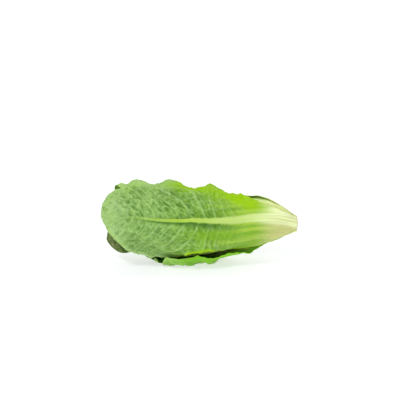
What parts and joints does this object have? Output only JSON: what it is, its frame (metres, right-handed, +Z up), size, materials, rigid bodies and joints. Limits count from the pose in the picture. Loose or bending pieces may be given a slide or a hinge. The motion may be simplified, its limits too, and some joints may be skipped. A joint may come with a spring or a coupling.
{
  "type": "romaine lettuce head",
  "caption": "Romaine lettuce head lying on its side: long ribbed leaves with waved edges, nested round a short stem that is cut flat at the butt.",
  "frame": {"origin": "under the middle of the head, on the surface that it lies on", "axes": "+X along the head and out of the cut butt, +Z up, -Y towards the leaf whose back faces the viewer"},
  "size_m": [0.2622, 0.1032, 0.1113],
  "materials": {
    "stem": "matte",
    "outer_leaf": "satin",
    "inner_leaf": "satin",
    "heart_leaf": "satin"
  },
  "bodies": {
    "root": {"stem": "stem", "leaf_01": "outer_leaf", "leaf_02": "outer_leaf", "leaf_03": "outer_leaf", "leaf_04": "outer_leaf", "leaf_05": "outer_leaf", "leaf_06": "outer_leaf", "leaf_07": "outer_leaf", "leaf_08": "inner_leaf", "leaf_09": "inner_leaf", "leaf_10": "inner_leaf", "leaf_11": "inner_leaf", "leaf_12": "inner_leaf", "leaf_13": "inner_leaf", "leaf_14": "heart_leaf", "leaf_15": "heart_leaf", "leaf_16": "heart_leaf", "leaf_17": "heart_leaf", "leaf_18": "heart_leaf", "leaf_19": "heart_leaf", "leaf_20": "heart_leaf"}
  },
  "joints": []
}
